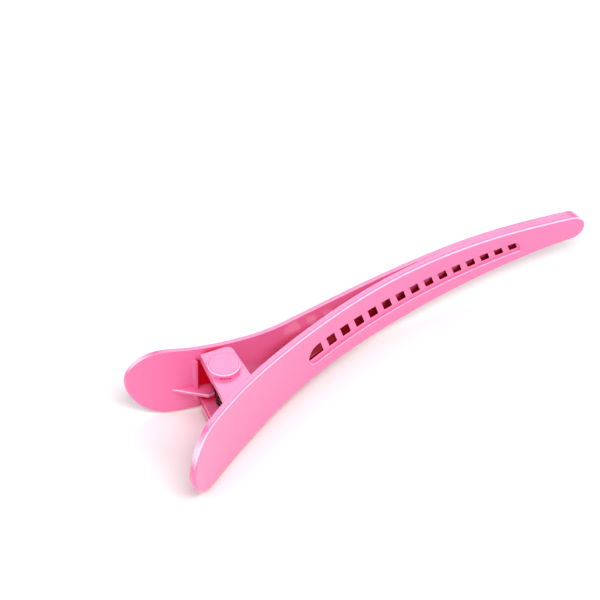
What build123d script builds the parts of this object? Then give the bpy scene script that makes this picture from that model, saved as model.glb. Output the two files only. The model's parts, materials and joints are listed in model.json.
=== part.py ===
"""Sectioning hair clip: two moulded arms on one rivet, closed by a torsion spring.

The clip lies on its side. X runs along it from the finger tabs to the tip, Y is the way
the arms open, and Z is the hinge axis. All sizes are in millimetres.
"""
import os
from math import acos, asin, atan2, cos, degrees, hypot, radians, sin, tan

from build123d import *

os.makedirs("parts", exist_ok=True)

# Place of the hinge in the frame; these centre the clip's box on X and Y
hinge_x = -37.95
hinge_y = -0.511

# Levels, measured up and down from the middle plane of the clip
tab_half = 9.35          # half width of both arms at the tabs, where they are widest
ear_inset = 0.75         # the ears' outer faces stand this much inside the tabs' edges
ear_level = tab_half - ear_inset
ear_thick = 1.6
cap_height = 1.5         # button over each end of the rivet
mid_z = ear_level + cap_height      # the clip lies on its lower button
side_play = 0.15         # between an ear and the lug inside it
lug_level = ear_level - ear_thick - side_play
lug_thick = 1.3

# Slotted arm, seen along the hinge axis
bow_r = 155.0            # radius of its outer face
bow_x, bow_y = 48.8, -155.1         # centre of that radius, from the hinge
slotted_thick = 1.6
slotted_tab_x = -12.4    # where the rounded tab end starts
slotted_tab_reach = 8.3
tip_x = 96.6             # far end of both arms

# Plain arm, seen along the hinge axis
plain_thick = 1.1
closed_gap = 0.08        # between the closed blades
plain_tab_r = 55.0       # hollow outer radius of the tab and the hinge part
plain_tab_x = -7.0
plain_tab_reach = 7.7
blend_r = 617.0          # long easy radius between the hinge part and the blade
blend_start = 1.0        # slope of the arm in degrees where it begins
blade_start = 4.9        # slope of the arm in degrees where the blade begins
slope_past_tab = 44.0    # slopes where its band ends, outside both of its rounded ends
slope_past_tip = 21.0
plain_bow_r = bow_r + slotted_thick + closed_gap + plain_thick

# Width of both arms from the tabs to the tip
tip_half = 3.32          # where the rounded tip starts
tip_reach = 3.1
tip_taper = 0.085        # how fast each side closes in there, run over rise
WIDTH_STATIONS = [
    # place from the hinge as a share of tip_x, half width as a share of tab_half
    (-0.0435, 0.982),
    (0.0497, 0.922),
    (0.1366, 0.8535),
    (0.2588, 0.7936),
    (0.3934, 0.7615),
    (0.5228, 0.7187),
    (0.6315, 0.6545),
    (0.7350, 0.5733),
    (0.8385, 0.4759),
    (0.9161, 0.3979),
]
edge_round = 0.5         # rounding of the slotted arm's outer rim
plain_round = 0.35       # rounding of the plain arm's outer rim
inner_round = 0.08       # rounding of both arms' inner rims
edge_soft = 0.2          # softened edges of the ears
rim_find = 0.05          # how near a face an edge must lie to belong to its rim
foot_depth = 0.55        # how deep ears, lugs, web and wall run into the arm they stand on
over = 3.0               # how far a cut or an outline runs past what it meets
through = 100.0          # longer than any cut through the clip

# Groove and windows of the slotted arm. The groove's upper edge lies nearer to the middle plane
groove_depth = 0.5
groove_x0, groove_x1 = 21.8, 80.9
groove_up0, groove_up1 = 2.2, 1.0           # upper edge over the middle plane, at both ends
groove_low0, groove_low1 = 3.25, 1.8        # lower edge under it
groove_bulge = 0.4       # how far the end nearer the tip is bowed
groove_round = 0.2       # rounding of its edges in the arm's outer face
window_count = 14
window_x0 = 29.35        # middle of the first window of the even row
window_pitch0 = 4.21     # first step between windows
window_pitch_drop = 0.061           # each step is shorter by this
window_share = 0.58      # width of a window as a share of its step
window_low0, window_low1 = 1.7, 1.1         # lower sides under the middle plane, first and last
window_lean = 0.33       # slant of a window's sides, run over rise
window_ledge = 0.3       # between the windows and the groove's edge
window_round = 0.25      # rounding of the windows' lower corners
lead_window_x = 26.35    # right side of the first window, which fills the groove's end

# Channel inside the slotted arm, and the ridge of the plain arm that enters it
channel_depth = 0.6
channel_inset = 0.7
channel_x0, channel_x1 = 15.0, 92.6
ridge_high = 0.5
ridge_inset = 0.95
ridge_wide = 0.7
ridge_x0, ridge_x1 = 50.0, 91.0
ridge_slope0 = 0.5       # slopes of the arm in degrees between which the ridge's band is drawn
ridge_slope1 = 19.0
strip_steps = 12         # straight steps along each side of a strip that follows the edges

# Hinge
pin_r = 1.1
pin_fit = 0.02           # rivet in the ears
pin_play = 0.05          # lugs on the rivet
head_r = 3.3
head_thick = 0.45
head_round = 0.15        # rounding of the heads' outer edges
lug_r = 3.1              # a lug's round end; its left side runs along the ear's left edge
ear_far_left = (-1.4, 6.55)
ear_far_right = (5.55, 4.75)
ear_near_left = (-6.5, -9.2)
ear_near_right = (3.05, -7.4)
ear_corner_r = 1.6
cap_r = 3.7
cap_round = 0.55
head_room = 0.05         # cap over the rivet's head
notch_wide = 2.3         # opening in the foot of a cap, where the rivet shows
notch_high = 0.55
notch_turn = -121.0      # direction of that opening about the hinge, degrees
notch_sunk = 0.2         # how far it breaks into the room for the head

# Web and wall around the spring, on the plain arm
web_top = -2.5           # from the middle plane
web_thick = 1.0
web_round = 0.35         # rounding of the two front sides that meet at web_bend
web_tip = (-7.3, 11.5)
web_bend = (-1.1, 4.05)
web_back = (3.6, 3.6)
web_foot = (4.6, 7.6)
web_clear_r = 3.6        # room for the spring
wall_x = -2.3            # left side of the upright wall
wall_thick = 0.5
wall_out = 1.0
wall_sunk = 0.5          # how far it runs into the lugs

# Torsion spring
wire_r = 0.3
coil_r = 1.5
coil_turns = 7
leg_clear = 0.03
coil_clear = 0.2         # over the web and under the lug
coil_z0 = web_top + wire_r + coil_clear     # lowest turn, from the middle plane
coil_z1 = lug_level - lug_thick - wire_r - coil_clear
plain_leg_x = 2.0        # where each leg bears on its arm, from the hinge
slotted_leg_x = -5.0


def at(x, y):
    """A plan point given from the hinge."""
    return (hinge_x + x, hinge_y + y)


def side(slope):
    """Unit normal, on the plain arm's outer side, where the arm slopes down by slope degrees."""
    return (sin(radians(slope)), cos(radians(slope)))


bow = at(bow_x, bow_y)

# centres of the plain arm's three tangent radii, worked back from the blade
n_blade = side(blade_start)
blade_end = (bow[0] + plain_bow_r * n_blade[0], bow[1] + plain_bow_r * n_blade[1])
blend_c = (blade_end[0] - blend_r * n_blade[0], blade_end[1] - blend_r * n_blade[1])
n_blend = side(blend_start)
blend_end = (blend_c[0] + blend_r * n_blend[0], blend_c[1] + blend_r * n_blend[1])
tab_c = (blend_end[0] + plain_tab_r * n_blend[0], blend_end[1] + plain_tab_r * n_blend[1])


def bow_angle(x):
    """Angle about the bow's centre of the point of the slotted arm at x from the hinge."""
    return 90.0 - degrees(asin((x - bow_x) / bow_r))


def bow_band(r_in, r_out, x0, x1):
    """Closed plan outline between two radii of the bow, from x0 to x1 from the hinge."""
    a0, a1 = bow_angle(x0), bow_angle(x1)
    near = CenterArc(bow, r_in, a1, a0 - a1)
    far = CenterArc(bow, r_out, a1, a0 - a1)
    Line(near @ 0, far @ 0)
    Line(near @ 1, far @ 1)


def plain_band(d_in, d_out, slope_tab, slope_tip, full=True):
    """Closed plan outline of the plain arm between two depths below its outer face.

    slope_tab is the slope in degrees where the outline starts: on the tab radius if full,
    otherwise on the long radius. slope_tip is the slope where it ends.
    """
    ends = []
    for d in (d_in, d_out):
        blade = CenterArc(bow, plain_bow_r - d, 90 - slope_tip, slope_tip - blade_start)
        low = blend_start if full else slope_tab
        blend = CenterArc(blend_c, blend_r - d, 90 - blade_start, blade_start - low)
        last = blend
        if full:
            last = CenterArc(tab_c, plain_tab_r + d, 270 - slope_tab, slope_tab - blend_start)
            ends.append((blade @ 0, last @ 0))
        else:
            ends.append((blade @ 0, last @ 1))
    Line(ends[0][0], ends[1][0])
    Line(ends[0][1], ends[1][1])


def stations():
    """Places from the hinge and half widths there, from the stations' shares to the rounded tip."""
    rows = [(tip_x * along, tab_half * half) for along, half in WIDTH_STATIONS]
    return rows + [(tip_x - tip_reach, tip_half)]


def half_at(x):
    """Half width of the arms at x from the hinge, straight between the stations."""
    rows = stations()
    for (xa, ha), (xb, hb) in zip(rows, rows[1:]):
        if xa <= x <= xb:
            return ha + (hb - ha) * (x - xa) / (xb - xa)
    return rows[0][1] if x < rows[0][0] else rows[-1][1]


def arm_edges(tab_x, tab_reach):
    """Side outline of an arm: rounded tab, tapering edges and rounded tip."""
    rows = [(tab_x, tab_half)] + stations()
    top = Spline([(hinge_x + x, mid_z + h) for x, h in rows],
                 tangents=[(1, 0), (1, -tip_taper)])
    low = Spline([(hinge_x + x, mid_z - h) for x, h in rows],
                 tangents=[(1, 0), (1, tip_taper)])
    ThreePointArc(top @ 1, (hinge_x + tip_x, mid_z), low @ 1)
    EllipticalCenterArc((hinge_x + tab_x, mid_z), tab_reach, tab_half,
                        start_angle=90, arc_size=180)


def inset_edges(x0, x1, inset):
    """Side outline of a strip from x0 to x1 that keeps inside the arm's edges by inset."""
    xs = [x0 + (x1 - x0) * i / strip_steps for i in range(strip_steps + 1)]
    top = [(hinge_x + x, mid_z + half_at(x) - inset) for x in xs]
    low = [(hinge_x + x, mid_z - half_at(x) + inset) for x in reversed(xs)]
    Polyline(*top, *low, close=True)


def slotted_depth(p):
    """How far the point p lies below the slotted arm's outer face."""
    return hypot(p.X - bow[0], p.Y - bow[1]) - bow_r


def plain_depth(p):
    """How far the point p lies below the plain arm's outer face."""
    if p.X > blade_end[0]:
        return plain_bow_r - hypot(p.X - bow[0], p.Y - bow[1])
    if p.X > blend_end[0]:
        return blend_r - hypot(p.X - blend_c[0], p.Y - blend_c[1])
    return hypot(p.X - tab_c[0], p.Y - tab_c[1]) - plain_tab_r


def slotted_y(x, depth):
    """Y from the hinge of the slotted arm at x from the hinge, depth below its outer face."""
    return bow_y + ((bow_r + depth) ** 2 - (x - bow_x) ** 2) ** 0.5


def plain_y(x, depth):
    """Y from the hinge of the plain arm's tab at x from the hinge, depth below its outer face."""
    run = hinge_x + x - tab_c[0]
    return tab_c[1] - ((plain_tab_r + depth) ** 2 - run ** 2) ** 0.5 - hinge_y


def rim(edges, depth, level):
    """The edges that run along an arm's face: start, middle and end are level below its outer face."""
    return [e for e in edges if all(abs(depth(e @ t) - level) < rim_find for t in (0, 0.5, 1))]


def groove_rim(edges):
    """Those of the edges on the slotted arm's outer face that go round the groove."""
    return [e for e in edges if abs(e.center().Z - mid_z) < groove_low0 + rim_find
            and hinge_x < e.center().X < hinge_x + groove_x1 + rim_find]


def ear_rim(edges, face_z):
    """The edges round the ear face at level face_z, without its bore or where it meets the arm."""
    return [e for e in edges if abs(e.center().Z - face_z) < rim_find
            and slotted_depth(e.center()) > slotted_thick + 1
            and abs((e @ 0).X - hinge_x) > pin_r + pin_fit + rim_find]


def groove_edges(inset):
    """Side outline of the groove, or of what keeps inside its edges by inset."""
    round0 = (groove_up0 + groove_low0) / 2
    half1 = (groove_up1 + groove_low1) / 2
    x0, x1 = hinge_x + groove_x0, hinge_x + groove_x1
    up = Line((x0 + round0, mid_z + groove_up0 - inset),
              (x1 - groove_bulge - window_lean * half1, mid_z + groove_up1 - inset))
    low = Line((x0 + round0, mid_z - groove_low0 + inset),
               (x1 - groove_bulge + window_lean * half1, mid_z - groove_low1 + inset))
    ThreePointArc(up @ 0, (x0 + inset, mid_z + (groove_up0 - groove_low0) / 2), low @ 0)
    ThreePointArc(up @ 1, (x1 - inset, mid_z + (groove_up1 - groove_low1) / 2), low @ 1)


def window_sides(left, right, low):
    """Slanted outline between two places in the middle plane, from low under it to far over it."""
    Polyline((hinge_x + left - window_lean * over, mid_z + over),
             (hinge_x + right - window_lean * over, mid_z + over),
             (hinge_x + right + window_lean * low, mid_z - low),
             (hinge_x + left + window_lean * low, mid_z - low), close=True)


# groove in the slotted arm's outer face
with BuildPart() as groove:
    with BuildSketch(Plane.XY):
        with BuildLine():
            bow_band(bow_r - over, bow_r + groove_depth, groove_x0 - over, groove_x1 + over)
        make_face()
    extrude(amount=2 * mid_z)
    with BuildSketch(Plane.XZ):
        with BuildLine():
            groove_edges(0)
        make_face()
    extrude(amount=through, both=True, mode=Mode.INTERSECT)

# channel in the slotted arm's inner face
with BuildPart() as channel:
    with BuildSketch(Plane.XY):
        with BuildLine():
            bow_band(bow_r + slotted_thick - channel_depth, bow_r + slotted_thick + over,
                     channel_x0 - over, channel_x1 + over)
        make_face()
    extrude(amount=2 * mid_z)
    with BuildSketch(Plane.XZ):
        with BuildLine():
            inset_edges(channel_x0, channel_x1, channel_inset)
        make_face()
    extrude(amount=through, both=True, mode=Mode.INTERSECT)

# all the windows, as one cutter
with BuildPart() as windows:
    with BuildSketch(Plane.XZ):
        with BuildLine():
            window_sides(groove_x0 - over, lead_window_x, window_low0)
        make_face()
        x = window_x0
        for i in range(window_count):
            step = window_pitch0 - window_pitch_drop * i
            half = window_share * step / 2
            low = window_low0 + (window_low1 - window_low0) * i / (window_count - 1)
            with BuildLine():
                window_sides(x - half, x + half, low)
            make_face()
            x += step
        fillet(vertices(), window_round)
        with BuildLine():
            groove_edges(window_ledge)
        make_face(mode=Mode.INTERSECT)
    extrude(amount=through, both=True)

# Arm with the windows, and both ears
with BuildPart() as slotted_arm:
    with BuildSketch(Plane.XY):
        with BuildLine():
            bow_band(bow_r, bow_r + slotted_thick, slotted_tab_x - slotted_tab_reach - over,
                     tip_x + over)
        make_face()
    extrude(amount=2 * mid_z)
    with BuildSketch(Plane.XZ):
        with BuildLine():
            arm_edges(slotted_tab_x, slotted_tab_reach)
        make_face()
    extrude(amount=through, both=True, mode=Mode.INTERSECT)
    fillet(rim(slotted_arm.edges(), slotted_depth, 0), edge_round)
    fillet(rim(slotted_arm.edges(), slotted_depth, slotted_thick), inner_round)
    add(groove.part, mode=Mode.SUBTRACT)
    fillet(groove_rim(rim(slotted_arm.edges(), slotted_depth, 0)), groove_round)
    add(channel.part, mode=Mode.SUBTRACT)
    add(windows.part, mode=Mode.SUBTRACT)
    for low in (mid_z + ear_level - ear_thick, mid_z - ear_level):
        with BuildSketch(Plane.XY.offset(low)):
            with BuildLine():
                Polyline(at(*ear_far_left), at(*ear_far_right), at(*ear_near_right),
                         at(*ear_near_left), close=True)
            make_face()
            with BuildLine():
                CenterArc(bow, bow_r + slotted_thick - foot_depth, 0, 360)
            make_face(mode=Mode.SUBTRACT)
            fillet(vertices().group_by(Axis.X)[-1], ear_corner_r)
            with Locations(at(0, 0)):
                Circle(pin_r + pin_fit, mode=Mode.SUBTRACT)
        extrude(amount=ear_thick)
    for face_z in (mid_z - ear_level, mid_z + ear_level):
        fillet(ear_rim(slotted_arm.edges(), face_z), edge_soft)
slotted_arm.part.label = "slotted_arm"
export_step(slotted_arm.part, "parts/slotted_arm.step")

# ridge of the plain arm, two strips that follow its edges
with BuildPart() as ridge:
    with BuildSketch(Plane.XY):
        with BuildLine():
            plain_band(plain_thick - foot_depth, plain_thick + ridge_high, ridge_slope0,
                       ridge_slope1, full=False)
        make_face()
    extrude(amount=2 * mid_z)
    with BuildSketch(Plane.XZ):
        with BuildLine():
            inset_edges(ridge_x0, ridge_x1, ridge_inset)
        make_face()
    extrude(amount=through, both=True, mode=Mode.INTERSECT)
    with BuildSketch(Plane.XZ):
        with BuildLine():
            inset_edges(ridge_x0 - over, ridge_x1 + over, ridge_inset + ridge_wide)
        make_face()
    extrude(amount=through, both=True, mode=Mode.SUBTRACT)

# web of the plain arm, with room for the spring
with BuildPart() as web:
    with BuildSketch(Plane.XY.offset(mid_z + web_top - web_thick)):
        with BuildLine():
            Polyline(at(*web_tip), at(*web_bend), at(*web_back), at(*web_foot), close=True)
        make_face()
    extrude(amount=web_thick)
    bend = Vertex(*at(*web_bend), mid_z + web_top - web_thick / 2)
    fillet([e for e in web.edges() if rim_find < e.distance_to(bend) < web_thick], web_round)
    with BuildSketch(Plane.XY.offset(mid_z + web_top - web_thick)):
        with Locations(tab_c):
            Circle(plain_tab_r + plain_thick - foot_depth)
        with Locations(at(0, 0)):
            Circle(web_clear_r)
    extrude(amount=web_thick, mode=Mode.SUBTRACT)

# left side of the lugs: a tangent of their round end, parallel to the ears' left edge
ear_lean = atan2(ear_far_left[1] - ear_near_left[1], ear_far_left[0] - ear_near_left[0])
lug_left = ear_lean + radians(90)
lug_rise = plain_y(0, plain_thick - foot_depth) - lug_r * sin(lug_left)
lug_foot_x = lug_r * cos(lug_left) + lug_rise / tan(ear_lean)

# Arm without windows, with its lugs, web and wall
with BuildPart() as plain_arm:
    with BuildSketch(Plane.XY):
        with BuildLine():
            plain_band(0, plain_thick, slope_past_tab, slope_past_tip)
        make_face()
    extrude(amount=2 * mid_z)
    with BuildSketch(Plane.XZ):
        with BuildLine():
            arm_edges(plain_tab_x, plain_tab_reach)
        make_face()
    extrude(amount=through, both=True, mode=Mode.INTERSECT)
    fillet(rim(plain_arm.edges(), plain_depth, 0), plain_round)
    fillet(rim(plain_arm.edges(), plain_depth, plain_thick), inner_round)
    add(ridge.part)
    for low in (mid_z + lug_level - lug_thick, mid_z - lug_level):
        with BuildSketch(Plane.XY.offset(low)):
            with Locations(at(0, 0)):
                Circle(lug_r)
            with BuildLine():
                Polyline(at(0, 0), at(lug_r * cos(lug_left), lug_r * sin(lug_left)),
                         at(lug_foot_x, plain_y(lug_foot_x, plain_thick - foot_depth)),
                         at(lug_r, plain_y(lug_r, plain_thick - foot_depth)), at(lug_r, 0), close=True)
            make_face()
            with Locations(at(0, 0)):
                Circle(pin_r + pin_play, mode=Mode.SUBTRACT)
        extrude(amount=lug_thick)
    add(web.part)
    with BuildSketch(Plane.XY.offset(mid_z - lug_level + lug_thick - wall_sunk)):
        with Locations(tab_c):
            Circle(plain_tab_r + plain_thick + wall_out)
            Circle(plain_tab_r + plain_thick - foot_depth, mode=Mode.SUBTRACT)
        with Locations(at(wall_x + wall_thick / 2, plain_y(wall_x, plain_thick))):
            Rectangle(wall_thick, 2 * over, mode=Mode.INTERSECT)
    extrude(amount=2 * (lug_level - lug_thick + wall_sunk))
plain_arm.part.label = "plain_arm"
export_step(plain_arm.part, "parts/plain_arm.step")

# Rivet with a flat head at each end
with BuildPart() as hinge_rivet:
    with BuildSketch(Plane.XY.offset(mid_z - ear_level - head_thick)):
        with Locations(at(0, 0)):
            Circle(head_r)
    extrude(amount=head_thick)
    with BuildSketch(Plane.XY.offset(mid_z - ear_level)):
        with Locations(at(0, 0)):
            Circle(pin_r)
    extrude(amount=2 * ear_level)
    with BuildSketch(Plane.XY.offset(mid_z + ear_level)):
        with Locations(at(0, 0)):
            Circle(head_r)
    extrude(amount=head_thick)
    fillet(hinge_rivet.edges().group_by(Axis.Z)[0], head_round)
    fillet(hinge_rivet.edges().group_by(Axis.Z)[-1], head_round)
hinge_rivet.part.label = "hinge_rivet"
export_step(hinge_rivet.part, "parts/hinge_rivet.step")


def leg_start(x, y, turn):
    """Point of the coil's circle whose tangent passes through (x, y), and its angle."""
    a = degrees(atan2(y, x)) + turn * degrees(acos(coil_r / hypot(x, y)))
    return a, (coil_r * cos(radians(a)), coil_r * sin(radians(a)))


# where the legs end: a wire's radius off each arm's inner face
low_end = (plain_leg_x, plain_y(plain_leg_x, plain_thick + wire_r + leg_clear))
high_end = (slotted_leg_x, slotted_y(slotted_leg_x, slotted_thick + wire_r + leg_clear))
low_turn, low_start = leg_start(*low_end, 1)
high_turn, high_start = leg_start(*high_end, -1)
sweep_turns = coil_turns + ((high_turn - low_turn) % 360) / 360
coil_rise = coil_z1 - coil_z0

# Torsion spring: a close coil with a straight leg at each end
with BuildPart() as torsion_spring:
    with BuildLine(Plane(origin=(*at(0, 0), mid_z + coil_z0), z_dir=(0, 0, 1),
                         x_dir=(cos(radians(low_turn)), sin(radians(low_turn)), 0))):
        coil = Helix(pitch=coil_rise / sweep_turns, height=coil_rise, radius=coil_r)
    with BuildSketch(Plane(origin=coil @ 0, z_dir=coil % 0)):
        Circle(wire_r)
    sweep(path=coil)
    for (x0, y0), (x1, y1), z in ((low_start, low_end, coil_z0), (high_start, high_end, coil_z1)):
        with BuildSketch(Plane(origin=(*at(x0, y0), mid_z + z), z_dir=(x1 - x0, y1 - y0, 0))):
            Circle(wire_r)
        extrude(amount=hypot(x1 - x0, y1 - y0))
torsion_spring.part.label = "torsion_spring"
export_step(torsion_spring.part, "parts/torsion_spring.step")

# Button that covers the upper head of the rivet
with BuildPart() as top_cap:
    with BuildSketch(Plane.XY.offset(mid_z + ear_level)):
        with Locations(at(0, 0)):
            Circle(cap_r)
    extrude(amount=cap_height)
    fillet(top_cap.edges().group_by(Axis.Z)[-1], cap_round)
    with BuildSketch(Plane.XY.offset(mid_z + ear_level)):
        with Locations(at(0, 0)):
            Circle(head_r + head_room)
    extrude(amount=head_thick + head_room, mode=Mode.SUBTRACT)
    with BuildSketch(Plane.XY.offset(mid_z + ear_level)):
        with Locations(Location((*at(0, 0), 0), (0, 0, notch_turn))):
            with Locations((cap_r, 0)):
                Rectangle(2 * (cap_r - head_r + notch_sunk), notch_wide)
    extrude(amount=notch_high, mode=Mode.SUBTRACT)
top_cap.part.label = "top_cap"
export_step(top_cap.part, "parts/top_cap.step")

# Button that covers the lower head; the clip lies on its flat face
with BuildPart() as bottom_cap:
    with BuildSketch(Plane.XY):
        with Locations(at(0, 0)):
            Circle(cap_r)
    extrude(amount=cap_height)
    fillet(bottom_cap.edges().group_by(Axis.Z)[0], cap_round)
    with BuildSketch(Plane.XY.offset(cap_height - head_thick - head_room)):
        with Locations(at(0, 0)):
            Circle(head_r + head_room)
    extrude(amount=head_thick + head_room, mode=Mode.SUBTRACT)
bottom_cap.part.label = "bottom_cap"
export_step(bottom_cap.part, "parts/bottom_cap.step")
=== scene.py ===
"""Looks of a pink sectioning hair clip, laid out as an add-on and run as a script.

The solids of both arms, the buttons and the rivet are kept and given their finishes. The spring
is made here as a wire. Lengths are in metres, in the clip's own frame: X runs from
the finger tabs to the tip, Y is the way the arms open, and Z is the hinge axis.
"""
import json
from math import acos, atan2, cos, hypot, pi, radians, sin

import bpy
import numpy as np
from bpy.props import FloatProperty, FloatVectorProperty, IntProperty, PointerProperty
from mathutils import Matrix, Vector


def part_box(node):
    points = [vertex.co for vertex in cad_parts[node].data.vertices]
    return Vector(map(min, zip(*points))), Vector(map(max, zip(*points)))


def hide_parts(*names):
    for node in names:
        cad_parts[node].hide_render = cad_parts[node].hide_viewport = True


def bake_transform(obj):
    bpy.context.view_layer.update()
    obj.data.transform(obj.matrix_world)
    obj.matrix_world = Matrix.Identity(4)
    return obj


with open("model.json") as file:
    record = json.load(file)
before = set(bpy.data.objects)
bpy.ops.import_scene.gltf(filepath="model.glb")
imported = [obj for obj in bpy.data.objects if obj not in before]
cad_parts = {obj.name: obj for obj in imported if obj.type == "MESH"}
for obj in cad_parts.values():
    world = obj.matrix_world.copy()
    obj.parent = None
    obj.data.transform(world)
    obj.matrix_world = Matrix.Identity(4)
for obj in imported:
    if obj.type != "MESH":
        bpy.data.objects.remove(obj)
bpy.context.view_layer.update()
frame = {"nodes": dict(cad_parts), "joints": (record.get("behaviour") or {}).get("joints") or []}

bl_info = {
    "name": "Sectioning hair clip",
    "version": (1, 0, 0),
    "blender": (4, 5, 0),
    "location": "View3D > Sidebar > Hair clip",
    "description": "Finishes, spring and studio of a pink plastic sectioning clip",
    "category": "Object",
}

HINGE = next(joint for joint in frame["joints"] if joint["name"] == "arm_hinge")
HINGE_X, HINGE_Y, MIDDLE = HINGE["pos_m"]
SPRING_LOW, SPRING_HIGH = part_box("torsion_spring")
PLASTIC_NODES = ("slotted_arm", "plain_arm", "top_cap", "bottom_cap")


class ClipPlastic(bpy.types.PropertyGroup):
    """Colour and surface of the moulded plastic."""

    pink: FloatVectorProperty(
        name="Pink", description="Colour of the plastic", subtype="COLOR",
        default=(0.91, 0.172, 0.395), min=0, max=1)
    pale: FloatVectorProperty(
        name="Pale pink", description="Colour where the pigment is thinner", subtype="COLOR",
        default=(0.93, 0.200, 0.435), min=0, max=1)
    # painted highlight: a pale colour on faces turned partly upward, where the lamps above catch the
    # rounded edges
    edge: FloatVectorProperty(
        name="Edges", description="Colour of the rounded edges, where the plastic is thin",
        subtype="COLOR", default=(0.98, 0.64, 0.80), min=0, max=1)
    mottle: FloatProperty(
        name="Mottle", description="Size of the cloudy changes of colour", subtype="DISTANCE",
        default=0.016, unit="LENGTH")
    grain: FloatProperty(
        name="Grain", description="Size of the fine grain that the mould leaves",
        subtype="DISTANCE", default=0.0004, unit="LENGTH")
    roughness: FloatProperty(
        name="Roughness", description="Roughness of the moulded surface", subtype="FACTOR",
        default=0.33, min=0, max=1)


class ClipPaintedShade(bpy.types.PropertyGroup):
    """Painted shade: where the plastic is painted dark red, standing in for the shade of hollows and for
    light coloured again at each bounce.
    """

    # reach and open share set where the painted shade falls, from the free directions round each point
    reach: FloatProperty(
        name="Reach", description="How wide a hollow still counts as one", subtype="DISTANCE",
        default=0.010, unit="LENGTH")
    open_share: FloatProperty(
        name="Open share", description="Share of free directions under which a hollow darkens",
        subtype="FACTOR", default=0.34, min=0, max=1)
    # painted shade colours: in the hinge, between the blades and on the windows' sides
    hinge: FloatVectorProperty(
        name="In the hinge", description="Colour of the hollows in the hinge", subtype="COLOR",
        default=(0.82, 0.002, 0.026), min=0, max=1)
    blades: FloatVectorProperty(
        name="Between the blades", description="Colour of the hollows past the hinge, as seen "
        "through the windows", subtype="COLOR", default=(0.58, 0.0014, 0.022), min=0, max=1)
    sides: FloatVectorProperty(
        name="Windows' sides", description="Colour of the windows' sides", subtype="COLOR",
        default=(0.13, 0.0004, 0.006), min=0, max=1)
    # the bow and the windows' corners place the painted shade on the windows' sides
    bow: FloatVectorProperty(
        name="Bow", description="Centre of the slotted arm's bow, from the hinge, and its radius",
        size=3, subtype="XYZ_LENGTH", unit="LENGTH", default=(0.0488, -0.1551, 0.155))
    windows_low: FloatVectorProperty(
        name="Windows, low corner", description="Least distance along the arm from the hinge, depth "
        "under the bow and height over the middle of the windows' sides", subtype="XYZ_LENGTH",
        unit="LENGTH", default=(0.0220, 0.00052, -0.0030))
    windows_high: FloatVectorProperty(
        name="Windows, high corner", description="Greatest of the same", subtype="XYZ_LENGTH",
        unit="LENGTH", default=(0.0812, 0.00105, 0.0022))
    # the pocket behind the spring gets painted shade
    pocket_low: FloatVectorProperty(
        name="Pocket, low corner", description="Low corner of the space behind the spring, from "
        "the hinge", subtype="XYZ_LENGTH", unit="LENGTH", default=(-0.0018, 0.0030, -0.0026))
    pocket_high: FloatVectorProperty(
        name="Pocket, high corner", description="High corner of that space", subtype="XYZ_LENGTH",
        unit="LENGTH", default=(0.0046, 0.0084, 0.0057))
    blades_from: FloatProperty(
        name="Blades from", description="Where the blades start, from the hinge",
        subtype="DISTANCE", default=0.012, unit="LENGTH")
    seam_from: FloatProperty(
        name="Seam from", description="Height over the middle above which the blades' seam stays "
        "pink", subtype="DISTANCE", default=0.0025, unit="LENGTH")


class ClipSteel(bpy.types.PropertyGroup):
    """Colours of the rivet and the spring wire."""

    rivet: FloatVectorProperty(
        name="Rivet", description="Colour of the plated rivet", subtype="COLOR",
        default=(0.78, 0.78, 0.80), min=0, max=1)
    wire: FloatVectorProperty(
        name="Wire", description="Colour of the drawn spring wire", subtype="COLOR",
        default=(0.10, 0.04, 0.05), min=0, max=1)
    # painted reflection and shade: the wire's colour where pink plastic closes it in
    tinted: FloatVectorProperty(
        name="Tinted", description="Colour of the wire where only pink plastic lights it",
        subtype="COLOR", default=(0.10, 0.004, 0.01), min=0, max=1)
    reach: FloatProperty(
        name="Reach", description="How wide a hollow still tints the wire", subtype="DISTANCE",
        default=0.012, unit="LENGTH")
    open_share: FloatProperty(
        name="Open share", description="Share of free directions under which the wire is tinted",
        subtype="FACTOR", default=0.75, min=0, max=1)


class ClipSpring(bpy.types.PropertyGroup):
    """Sizes of the torsion spring."""

    wire_radius: FloatProperty(
        name="Wire radius", description="Half the thickness of the wire", subtype="DISTANCE",
        default=0.0003, unit="LENGTH")
    coil_radius: FloatProperty(
        name="Coil radius", description="From the hinge axis to the middle of the wire",
        subtype="DISTANCE", default=0.0015, unit="LENGTH")
    turns: IntProperty(
        name="Turns", description="Whole turns of the coil", default=7, min=1)
    low_leg: FloatVectorProperty(
        name="Lower leg", description="Where it ends on the plain arm, from the hinge", size=2,
        subtype="XYZ_LENGTH", unit="LENGTH", default=(0.0020, 0.00623))
    high_leg: FloatVectorProperty(
        name="Upper leg", description="Where it ends on the slotted arm, from the hinge", size=2,
        subtype="XYZ_LENGTH", unit="LENGTH", default=(-0.0050, -0.00768))


class ClipStage(bpy.types.PropertyGroup):
    """Camera, lights and floor."""

    elevation: FloatProperty(
        name="Elevation", description="Camera above the horizon", subtype="ANGLE", unit="ROTATION",
        default=radians(45))
    azimuth: FloatProperty(
        name="Azimuth", description="Turn of the camera round the clip", subtype="ANGLE",
        unit="ROTATION", default=radians(-38))
    target: FloatVectorProperty(
        name="Target", description="Middle of the picture, from the hinge on the middle plane",
        subtype="XYZ_LENGTH", unit="LENGTH", default=(0.03135, 0.01312, 0.0))
    distance: FloatProperty(
        name="Distance", description="From the camera to the target", subtype="DISTANCE",
        unit="LENGTH", default=1.5)
    frame_width: FloatProperty(
        name="Frame width", description="Width that the picture covers at the target",
        subtype="DISTANCE", unit="LENGTH", default=0.13333)
    floor: FloatVectorProperty(
        name="Floor", description="Colour of the floor", subtype="COLOR", default=(0.93, 0.92, 0.925),
        min=0, max=1)
    floor_half: FloatProperty(
        name="Half floor", description="Half the width of the floor", subtype="DISTANCE",
        unit="LENGTH", default=2.0)
    floor_gap: FloatProperty(
        name="Floor gap", description="How far the floor lies under the clip", subtype="DISTANCE",
        unit="LENGTH", default=2e-5)
    sky: FloatProperty(
        name="Sky", description="Strength of the even light from all round", default=0.33)


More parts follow.
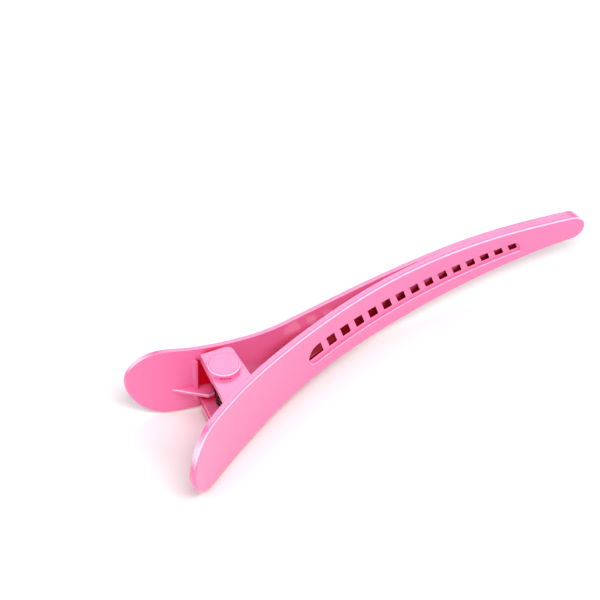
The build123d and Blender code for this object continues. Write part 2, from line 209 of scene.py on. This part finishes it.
class Wire:
    """A node's output. Sums and products of wires and numbers add their Math nodes."""

    def __init__(self, tree, socket):
        self.tree = tree
        self.socket = socket

    def math(self, operation, first, second):
        """Adds one Math node and returns its output."""
        node = self.tree.nodes.new("ShaderNodeMath")
        node.operation = operation
        for slot, value in zip(node.inputs, (first, second)):
            if isinstance(value, Wire):
                self.tree.links.new(value.socket, slot)
            else:
                slot.default_value = value
        return Wire(self.tree, node.outputs[0])

    def __add__(self, other):
        return self.math("ADD", self, other)

    def __radd__(self, other):
        return self.math("ADD", other, self)

    def __sub__(self, other):
        return self.math("SUBTRACT", self, other)

    def __rsub__(self, other):
        return self.math("SUBTRACT", other, self)

    def __mul__(self, other):
        return self.math("MULTIPLY", self, other)

    def __rmul__(self, other):
        return self.math("MULTIPLY", other, self)

    def __truediv__(self, other):
        return self.math("DIVIDE", self, other)

    def __pow__(self, other):
        return self.math("POWER", self, other)


class Finish:
    """A material and its node tree."""

    def __init__(self, name):
        self.material = bpy.data.materials.new(name)
        self.material.use_nodes = True
        self.tree = self.material.node_tree
        self.tree.nodes.clear()

    def add(self, kind, settings=None, output=0, **inputs):
        """Adds a node: its settings first, then the values or links of its sockets.

        A socket is named by its label with underscores for spaces, or by in_ and its number.
        """
        node = self.tree.nodes.new(kind)
        for key, value in (settings or {}).items():
            setattr(node, key, value)
        for key, value in inputs.items():
            slot = int(key[3:]) if key.startswith("in_") else key.replace("_", " ")
            if isinstance(value, Wire):
                self.tree.links.new(value.socket, node.inputs[slot])
            else:
                node.inputs[slot].default_value = value
        return Wire(self.tree, node.outputs[output]) if node.outputs else None

    def place(self):
        """Object coordinates, in metres."""
        return self.add("ShaderNodeTexCoord", output=3)

    def facing(self):
        """Direction in which the surface faces, of length 1."""
        return self.add("ShaderNodeTexCoord", output=1)

    def parts(self, vector):
        """The X, Y and Z part of a vector."""
        return [self.add("ShaderNodeSeparateXYZ", output=axis, Vector=vector) for axis in range(3)]

    def noise(self, where, size, detail=2.0):
        """Noise from 0 to 1 whose clouds are about size across."""
        return self.add("ShaderNodeTexNoise", Vector=where, Scale=1.0 / size, Detail=detail)

    def blend(self, mask, first, second):
        """Colour that goes from first to second as the mask goes from 0 to 1."""
        settings = {"data_type": "RGBA"}
        colours = [c if isinstance(c, Wire) else (*c, 1.0) for c in (first, second)]
        return self.add("ShaderNodeMix", settings, 2, in_0=mask, in_6=colours[0], in_7=colours[1])

    def held(self, value):
        """The value, held between 0 and 1."""
        return self.add("ShaderNodeClamp", Value=value)

    def closed_in(self, reach, share):
        """0 where at least this share of the directions is free of plastic within reach, rising to 1
        as it falls by an eighth."""
        open_air = self.add("ShaderNodeAmbientOcclusion", {"samples": 8}, 1, Distance=reach)
        return self.held(8.0 * (share - open_air))

    def between(self, value, low, high, soft):
        """1 where the value lies between low and high, 0 outside, over a width of soft."""
        return self.held((value - low) / soft) * self.held((high - value) / soft)

    def inside(self, place, low, high, soft):
        """1 inside the box between two corners, 0 outside, over a width of soft."""
        along, across, up = (self.between(*row, soft) for row in zip(place, low, high))
        return along * across * up

    def surface(self, **inputs):
        """Closes the tree with a Principled shader."""
        shader = self.add("ShaderNodeBsdfPrincipled", **inputs)
        self.add("ShaderNodeOutputMaterial", Surface=shader)
        return self.material


# lengths over which the painted shade fades into the pink
SIDES_FADE = 3e-5
POCKET_FADE = 3e-4
BLADES_FADE = 0.004
SEAM_FADE = 0.0017

# painted highlight: how far up the rounded edges face, from 0 for level to 1 for straight up, and how
# that fades
EDGE_LEAST, EDGE_MOST, EDGE_FADE = 0.25, 0.93, 0.25

# the windows' sides face along X or Z, so the Y part of their direction is small
SIDES_MOST, SIDES_TURN = 0.5, 0.25


def windows_sides(finish, place, across, hollows):
    """1 on the sides of the windows, 0 elsewhere: the mask of their painted shade.

    They lie between two places along the arm, two depths under the bow and two heights, where the
    depth is the distance in plan from the bow's centre less its radius.
    """
    x, y, z = place
    run, rise = x - hollows.bow[0], y - hollows.bow[1]
    under_bow = (run * run + rise * rise) ** 0.5 - hollows.bow[2]
    sides = finish.inside((x, under_bow, z), hollows.windows_low, hollows.windows_high,
                          SIDES_FADE)
    return sides * finish.between(across, -SIDES_MOST, SIDES_MOST, SIDES_TURN)


def moulded_plastic(props, hollows):
    """Pink plastic: cloudy pigment, faint flow lines along the arm, fine grain, a painted highlight on
    the faces turned partly up and painted shade in the hollows.
    """
    finish = Finish("moulded_pink_plastic")
    where = finish.place()
    x, y, z = finish.parts(where)
    place = (x - HINGE_X, y - HINGE_Y, z - MIDDLE)
    _, across, upward = finish.parts(finish.facing())

    # the flow lines are a noise drawn out along the arm, and colour it a third as much as the clouds
    clouds = finish.noise(where, props.mottle, detail=3.0)
    drawn_out = finish.add("ShaderNodeMapping", Vector=where, Scale=(0.08, 1.0, 1.0))
    flow = finish.noise(drawn_out, props.mottle / 10)
    pigment = finish.blend(0.75 * clouds + 0.25 * flow, props.pink, props.pale)

    # painted highlight: the faces turned partly upward take the pale colour
    edges = finish.between(upward, EDGE_LEAST, EDGE_MOST, EDGE_FADE)
    pigment_and_highlight = finish.blend(edges, pigment, props.edge)

    # painted shade: the blades' seam isn't a hollow and gets none, and the pocket behind the spring gets
    # it only where it faces -Y
    sides = windows_sides(finish, place, across, hollows)
    past_hinge = finish.held((place[0] - hollows.blades_from) / BLADES_FADE)
    seam = past_hinge * finish.held((place[2] - hollows.seam_from) / SEAM_FADE)
    closed_in = finish.closed_in(hollows.reach, hollows.open_share) * (1.0 - seam)
    pocket = finish.inside(place, hollows.pocket_low, hollows.pocket_high, POCKET_FADE)
    hollow = finish.held(closed_in + sides + pocket * finish.held(-2.0 * across))
    painted_shade_colour = finish.blend(past_hinge, hollows.hinge, hollows.blades)
    painted_shade_colour = finish.blend(sides, painted_shade_colour, hollows.sides)

    grain = finish.noise(where, props.grain)
    bump = finish.add("ShaderNodeBump", Height=grain, Strength=0.06, Distance=props.grain / 10)
    # the painted highlight and the painted shade go into Base Color, and the coat's gloss fades where the
    # painted shade lies
    return finish.surface(
        Base_Color=finish.blend(hollow, pigment_and_highlight, painted_shade_colour),
        Roughness=(props.roughness - 0.05) + 0.1 * clouds, Normal=bump,
        Specular_IOR_Level=0.05, Subsurface_Weight=0.1, Subsurface_Radius=(1.0, 0.35, 0.45),
        Subsurface_Scale=0.0009, Coat_Weight=1.0 - hollow, Coat_IOR=1.5, Coat_Roughness=0.14)


def plated_steel(props):
    """Bright plated rivet with faint turning marks."""
    finish = Finish("plated_rivet_steel")
    marks = finish.noise(finish.place(), size=0.0008, detail=3.0)
    return finish.surface(
        Base_Color=finish.blend(marks, props.rivet, [0.85 * c for c in props.rivet]),
        Metallic=1.0, Roughness=0.28 + 0.12 * marks)


def drawn_wire(props):
    """Drawn steel wire, dark and a little streaked, with painted pink reflection and shade where plastic
    closes it in.
    """
    finish = Finish("drawn_spring_wire")
    streaks = finish.noise(finish.place(), size=0.0006, detail=4.0)
    bump = finish.add("ShaderNodeBump", Height=streaks, Strength=0.1, Distance=0.00002)
    bare = finish.blend(streaks, props.wire, [0.7 * c for c in props.wire])
    # painted pink reflection and shade where plastic closes the wire in
    closed_in = finish.closed_in(props.reach, props.open_share)
    return finish.surface(
        Base_Color=finish.blend(closed_in, bare, props.tinted),
        Metallic=1.0, Roughness=0.24 + 0.16 * streaks, Normal=bump)


def floor_finish(props):
    """Plain pale floor, the faintest bit uneven over about 30 cm."""
    finish = Finish("pale_floor")
    clouds = finish.noise(finish.place(), size=0.3)
    return finish.surface(
        Base_Color=finish.blend(clouds, props.floor, [0.995 * c for c in props.floor]),
        Roughness=0.7 + 0.05 * clouds)


def dress(obj, material):
    """Gives an object this one material."""
    obj.data.materials.clear()
    obj.data.materials.append(material)


def mesh_object(name, points, faces):
    """A smooth-shaded mesh object from its points and a list of faces."""
    mesh = bpy.data.meshes.new(name)
    mesh.from_pydata(points, [], faces)
    mesh.polygons.foreach_set("use_smooth", [True] * len(mesh.polygons))
    mesh.update()
    obj = bpy.data.objects.new(name, mesh)
    bpy.context.scene.collection.objects.link(obj)
    return obj


def tube(path, radius, sides=14):
    """Points and faces of a round tube along a path that is nearly level everywhere.

    Point (i, j) = path_i + radius (cos a_j across_i + sin a_j above_i), where a_j goes round in
    equal steps, across is the path's direction crossed with Z, and above is across crossed with
    that direction. Each end shrinks to a rounded nose in three more rings, the last of them a
    fiftieth of the radius wide and closed by one face.
    """
    ahead = np.gradient(path, axis=0)
    ahead /= np.linalg.norm(ahead, axis=1, keepdims=True)
    nose = np.radians([90.0, 60.0, 30.0])
    start = path[0] - radius * np.sin(nose)[:, None] * ahead[0]
    end = path[-1] + radius * np.sin(nose[::-1])[:, None] * ahead[-1]
    wide = np.concatenate([np.cos(nose), np.ones(len(path)), np.cos(nose[::-1])]) * radius
    wide = np.maximum(wide, radius / 50)
    centre = np.concatenate([start, path, end])
    ahead = np.concatenate([np.repeat(ahead[:1], 3, 0), ahead, np.repeat(ahead[-1:], 3, 0)])
    across = np.cross(ahead, (0.0, 0.0, 1.0))
    across /= np.linalg.norm(across, axis=1, keepdims=True)
    above = np.cross(across, ahead)
    turn = np.linspace(0, 2 * pi, sides, endpoint=False)
    ring = np.cos(turn)[None, :, None] * across[:, None] + np.sin(turn)[None, :, None] * above[:, None]
    points = centre[:, None] + wide[:, None, None] * ring
    i, j = np.meshgrid(np.arange(len(centre) - 1), np.arange(sides), indexing="ij")
    k = (j + 1) % sides
    quads = np.stack([i * sides + j, i * sides + k, (i + 1) * sides + k, (i + 1) * sides + j], -1)
    faces = quads.reshape(-1, 4).tolist()
    faces += [list(range(sides))[::-1], [len(centre) * sides - sides + n for n in range(sides)]]
    return points.reshape(-1, 3), faces


def leg_angle(end, radius, side):
    """Angle on the coil's circle whose tangent passes through end: the angle of end, turned by
    the arc cosine of radius over its distance."""
    return atan2(end[1], end[0]) + side * acos(radius / hypot(*end))


def spring_path(props, turn_steps=32, leg_steps=12):
    """Middle line of the wire: the lower leg, the coil and the upper leg.

    The coil's point at angle t is (r cos t, r sin t) from the hinge, and rises evenly with t.
    """
    radius = props.coil_radius
    z_low = SPRING_LOW[2] + props.wire_radius
    z_high = SPRING_HIGH[2] - props.wire_radius
    low, high = tuple(props.low_leg), tuple(props.high_leg)
    t0 = leg_angle(low, radius, 1)
    t1 = t0 + 2 * pi * props.turns + (leg_angle(high, radius, -1) - t0) % (2 * pi)
    t = np.linspace(t0, t1, turn_steps * props.turns)
    coil = np.stack([radius * np.cos(t), radius * np.sin(t), np.interp(t, (t0, t1), (z_low, z_high))], -1)
    share = np.linspace(0, 1, leg_steps, endpoint=False)[:, None]
    low_leg = np.array([*low, z_low]) * (1 - share) + coil[0] * share
    high_leg = (np.array([*high, z_high]) * (1 - share) + coil[-1] * share)[::-1]
    return np.concatenate([low_leg, coil, high_leg]) + (HINGE_X, HINGE_Y, 0.0)


def direction(azimuth, elevation):
    """Unit vector from the target toward a place so far round it from -Y, and so far up."""
    return Vector((sin(azimuth) * cos(elevation), -cos(azimuth) * cos(elevation), sin(elevation)))


def aimed(context, data, target, toward, away):
    """Object of a camera or lamp that stands this far away in one direction and faces the target."""
    obj = bpy.data.objects.new(data.name, data)
    obj.location = target + toward * away
    obj.rotation_euler = (-toward).to_track_quat("-Z", "Y").to_euler()
    context.scene.collection.objects.link(obj)
    return obj


LAMPS = [
    # name, azimuth and elevation in degrees, distance, width and height in metres, watts
    ("key", -18.0, 60.0, 0.9, 0.5, 0.4, 4.7),
    ("front", 20.0, 48.0, 0.9, 0.6, 0.3, 2.1),
    ("left", -85.0, 45.0, 0.9, 0.4, 0.5, 2.0),
    ("back", 145.0, 48.0, 0.9, 0.55, 0.4, 2.3),
]


def softbox(name, wide, high, watts):
    """A rectangular lamp's data."""
    data = bpy.data.lights.new(name, "AREA")
    data.shape = "RECTANGLE"
    data.size, data.size_y, data.energy = wide, high, watts
    return data


def studio_world(strength):
    """An even white sky of this strength."""
    world = bpy.data.worlds.new("studio")
    world.use_nodes = True
    sky = world.node_tree.nodes["Background"]
    sky.inputs["Color"].default_value = (1.0, 1.0, 1.0, 1.0)
    sky.inputs["Strength"].default_value = strength
    return world


class HAIRCLIP_OT_plastic(bpy.types.Operator):
    """Gives both arms and the buttons their pink moulded plastic"""

    bl_idname = "hairclip.plastic"
    bl_label = "Plastic of the arms and buttons"

    def execute(self, context):
        pink = moulded_plastic(context.scene.hairclip_plastic, context.scene.hairclip_hollows)
        for node in PLASTIC_NODES:
            dress(frame["nodes"][node], pink)
        return {"FINISHED"}


class HAIRCLIP_OT_rivet(bpy.types.Operator):
    """Gives the rivet its plated steel"""

    bl_idname = "hairclip.rivet"
    bl_label = "Rivet"

    def execute(self, context):
        dress(frame["nodes"]["hinge_rivet"], plated_steel(context.scene.hairclip_steel))
        return {"FINISHED"}


class HAIRCLIP_OT_spring(bpy.types.Operator):
    """Winds the torsion spring and hides the frame's own spring"""

    bl_idname = "hairclip.spring"
    bl_label = "Torsion spring"

    def execute(self, context):
        props = context.scene.hairclip_spring
        spring = mesh_object("spring_wire", *tube(spring_path(props), props.wire_radius))
        dress(spring, drawn_wire(context.scene.hairclip_steel))
        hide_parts("torsion_spring")
        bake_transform(spring)
        return {"FINISHED"}


class HAIRCLIP_OT_stage(bpy.types.Operator):
    """Sets the floor, the lights and the camera"""

    bl_idname = "hairclip.stage"
    bl_label = "Stage"

    def execute(self, context):
        props = context.scene.hairclip_stage
        half, level = props.floor_half, -props.floor_gap
        corners = [(-half, -half, level), (half, -half, level), (half, half, level), (-half, half, level)]
        floor = mesh_object("floor", corners, [(0, 1, 2, 3)])
        dress(floor, floor_finish(props))
        target = Vector(HINGE["pos_m"]) + Vector(props.target)
        data = bpy.data.cameras.new("camera")
        data.lens = data.sensor_width * props.distance / props.frame_width
        data.clip_start, data.clip_end = 0.05, 20.0
        toward = direction(props.azimuth, props.elevation)
        context.scene.camera = aimed(context, data, target, toward, props.distance)
        context.scene.world = studio_world(props.sky)
        for name, turn, rise, away, *size_and_watts in LAMPS:
            toward = direction(radians(turn), radians(rise))
            aimed(context, softbox(name, *size_and_watts), target, toward, away)
        context.scene.view_settings.view_transform = "Standard"
        return {"FINISHED"}


class HAIRCLIP_PT_panel(bpy.types.Panel):
    """Lists the clip's sizes, colours and steps"""

    bl_idname = "HAIRCLIP_PT_panel"
    bl_label = "Sectioning hair clip"
    bl_space_type = "VIEW_3D"
    bl_region_type = "UI"
    bl_category = "Hair clip"

    def draw(self, context):
        for name, group in GROUPS.items():
            box = self.layout.box()
            box.label(text=group.__doc__)
            for prop in group.__annotations__:
                box.prop(getattr(context.scene, name), prop)
        for step in STEPS:
            self.layout.operator(step.bl_idname)


GROUPS = {
    "hairclip_plastic": ClipPlastic,
    "hairclip_hollows": ClipPaintedShade,
    "hairclip_steel": ClipSteel,
    "hairclip_spring": ClipSpring,
    "hairclip_stage": ClipStage,
}
STEPS = (HAIRCLIP_OT_plastic, HAIRCLIP_OT_rivet, HAIRCLIP_OT_spring, HAIRCLIP_OT_stage)


def register():
    """Registers the classes and puts each group of properties on the scene."""
    for name, group in GROUPS.items():
        bpy.utils.register_class(group)
        setattr(bpy.types.Scene, name, PointerProperty(type=group))
    for step in STEPS:
        bpy.utils.register_class(step)
    bpy.utils.register_class(HAIRCLIP_PT_panel)


def unregister():
    """Takes all of it off again."""
    bpy.utils.unregister_class(HAIRCLIP_PT_panel)
    for step in reversed(STEPS):
        bpy.utils.unregister_class(step)
    for name, group in reversed(GROUPS.items()):
        delattr(bpy.types.Scene, name)
        bpy.utils.unregister_class(group)


def main():
    """Builds the looks round the frame."""
    register()
    bpy.ops.hairclip.plastic()
    bpy.ops.hairclip.rivet()
    bpy.ops.hairclip.spring()
    bpy.ops.hairclip.stage()


if __name__ == "__main__":
    main()
